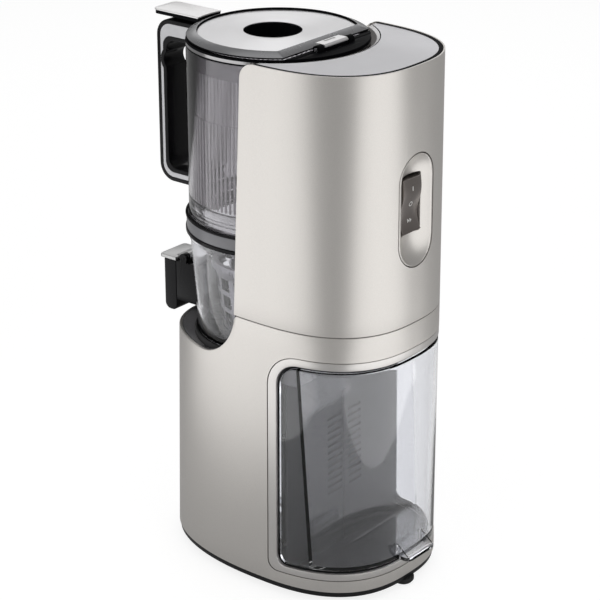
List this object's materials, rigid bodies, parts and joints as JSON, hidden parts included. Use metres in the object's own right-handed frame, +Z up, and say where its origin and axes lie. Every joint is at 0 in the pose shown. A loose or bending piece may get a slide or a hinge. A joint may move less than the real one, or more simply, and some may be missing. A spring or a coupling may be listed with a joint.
{
  "type": "cold press juicer",
  "caption": "Tall countertop cold press juicer: column body, lift-out smoked hopper with hinged lid, clear pressing chamber with capped spout, rear pulp bin and rocker switch.",
  "frame": {"origin": "on the floor plane under the middle of the body's plan", "axes": "+Z up, -Y the front with handle and juice spout, +Y the rear with pulp bin and switch, +X the machine's right seen from the rear"},
  "size_m": [0.1478, 0.2428, 0.4054],
  "materials": {
    "shell": "warm satin silver",
    "cover": "fine satin silver",
    "dark_plastic": "satin dark grey",
    "black_rubber": "matt",
    "black_plastic": "gloss black",
    "steel": "machined",
    "frame_silver": "satin silver",
    "board": "solder mask",
    "die_cast": "die cast",
    "rocker": "dark metallic gloss",
    "white_plastic": "moulded",
    "gear_brass": "cut teeth",
    "auger": "dark grey moulded",
    "strainer": "satin",
    "clear": "clear moulded plastic",
    "lever_silver": "satin silver",
    "grey_rubber": "silicone",
    "smoke": "smoked clear plastic",
    "smoke_dark": "dark smoked clear plastic",
    "rim_silver": "bright band",
    "collar_grey": "satin grey",
    "inlay": "pale gloss",
    "lid_silver": "spun satin silver",
    "ring_grey": "grey gloss",
    "clear_smoke": "clear grey-tinted moulded plastic"
  },
  "bodies": {
    "housing": {"base_shell": "shell", "upper_shell": "shell", "top_cover": "cover", "hopper_liner": "dark_plastic", "deck": "dark_plastic", "seat_ring": "black_rubber", "shaft_seal": "black_rubber", "base_plate": "black_plastic", "rubber_feet": "black_rubber", "base_screws": "steel", "bin_bay": "dark_plastic", "bin_frame": "frame_silver", "bin_trim": "black_plastic", "pulp_chute": "dark_plastic", "switch_dish": "shell", "switch_body": "black_plastic", "rocker_pin": "steel", "control_board": "board", "cord_gland": "black_rubber", "motor_can": "steel", "motor_cradle": "steel", "motor_bearings": "steel", "gearbox_case": "die_cast", "gearbox_cover": "die_cast"},
    "rocker": {"rocker": "rocker"},
    "rotor": {"motor_rotor": "steel", "motor_fan": "white_plastic"},
    "layshaft": {"lay_gear": "gear_brass"},
    "drive": {"drive_shaft": "steel", "output_gear": "gear_brass"},
    "chamber": {"chamber_bowl": "clear", "chamber_base": "black_plastic", "strainer": "strainer", "spout_body": "black_plastic", "cap_pin": "steel"},
    "auger": {"auger": "auger"},
    "cap": {"juice_cap": "black_plastic", "cap_lever": "lever_silver", "cap_seal": "grey_rubber"},
    "hopper": {"hopper_wall": "smoke", "hopper_sleeve": "smoke_dark", "rim_band": "rim_silver", "collar_band": "collar_grey", "collar_rings": "black_rubber", "handle_frame": "black_plastic", "handle_inlay": "inlay", "hinge_block": "black_plastic", "hinge_pin": "steel"},
    "lid": {"lid_disc": "lid_silver", "lid_ring": "ring_grey", "lid_under": "black_plastic", "lid_tongue": "lid_silver", "lid_bracket": "lid_silver"},
    "bin": {"pulp_bin": "clear_smoke"}
  },
  "joints": [
    {"name": "rocker_tilt", "type": "hinge", "parent": "housing", "child": "rocker", "pos_m": [0, 0.0889, 0.299], "axis": [1, 0, 0], "range_deg": [-9, 9]},
    {"name": "drive_spin", "type": "hinge", "parent": "housing", "child": "drive", "pos_m": [0, -0.0225, 0.16], "axis": [0, 0, 1], "continuous": true},
    {"name": "layshaft_spin", "type": "hinge", "parent": "housing", "child": "layshaft", "pos_m": [0, -0.0525, 0.13], "axis": [0, 0, 1], "continuous": true},
    {"name": "rotor_spin", "type": "hinge", "parent": "housing", "child": "rotor", "pos_m": [0, -0.0225, 0.06], "axis": [0, 0, 1], "continuous": true},
    {"name": "chamber_lift", "type": "slide", "parent": "housing", "child": "chamber", "axis": [0, 0, 1], "range_m": [0, 0.24]},
    {"name": "auger_spin", "type": "hinge", "parent": "chamber", "child": "auger", "pos_m": [0, -0.0225, 0.2], "axis": [0, 0, 1], "continuous": true},
    {"name": "cap_hinge", "type": "hinge", "parent": "chamber", "child": "cap", "pos_m": [0, -0.1055, 0.2146], "axis": [-1, 0, 0], "range_deg": [0, 80]},
    {"name": "hopper_lift", "type": "slide", "parent": "chamber", "child": "hopper", "axis": [0, 0, 1], "range_m": [0, 0.16]},
    {"name": "lid_hinge", "type": "hinge", "parent": "hopper", "child": "lid", "pos_m": [0, 0.0275, 0.4022], "axis": [-1, 0, 0], "range_deg": [0, 100]},
    {"name": "bin_slide", "type": "slide", "parent": "housing", "child": "bin", "axis": [0, 1, 0], "range_m": [0, 0.08]}
  ],
  "couplings": [
    {"joint": "layshaft_spin", "follows": "drive_spin", "ratio": -4},
    {"joint": "rotor_spin", "follows": "drive_spin", "ratio": 20},
    {"joint": "auger_spin", "follows": "drive_spin", "ratio": 1}
  ]
}
